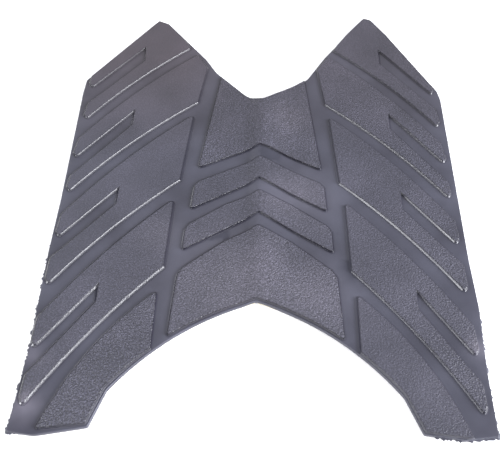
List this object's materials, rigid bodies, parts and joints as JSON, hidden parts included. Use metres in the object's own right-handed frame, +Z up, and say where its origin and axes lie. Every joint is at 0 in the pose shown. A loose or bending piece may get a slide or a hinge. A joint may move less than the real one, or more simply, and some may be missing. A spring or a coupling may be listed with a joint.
{
  "type": "snowboard stomp pad",
  "caption": "Moulded rubber traction pad with raised diagonal tread blocks, a V notch, a concave arch, an adhesive back and a split release liner.",
  "frame": {"origin": "middle of the footprint, on the underside of the release liner", "axes": "+X right, +Y from the arch end towards the notched end, +Z up from the board"},
  "size_m": [0.1524, 0.2041, 0.0046],
  "materials": {
    "tread_rubber": "matte",
    "adhesive_foam": "satin",
    "liner_paper": "satin"
  },
  "bodies": {
    "pad": {"tread_pad": "tread_rubber", "adhesive_left": "adhesive_foam", "adhesive_right": "adhesive_foam"},
    "left_liner": {"release_liner_left": "liner_paper"},
    "right_liner": {"release_liner_right": "liner_paper"}
  },
  "joints": [
    {"name": "left_liner_peel", "type": "hinge", "parent": "pad", "child": "left_liner", "pos_m": [-0.07305, -0.02715, 0.0002], "axis": [-0.0424, 0.9991, 0], "range_deg": [0, 150]},
    {"name": "right_liner_peel", "type": "hinge", "parent": "pad", "child": "right_liner", "pos_m": [0.07305, -0.02715, 0.0002], "axis": [-0.0424, -0.9991, 0], "range_deg": [0, 150]}
  ]
}
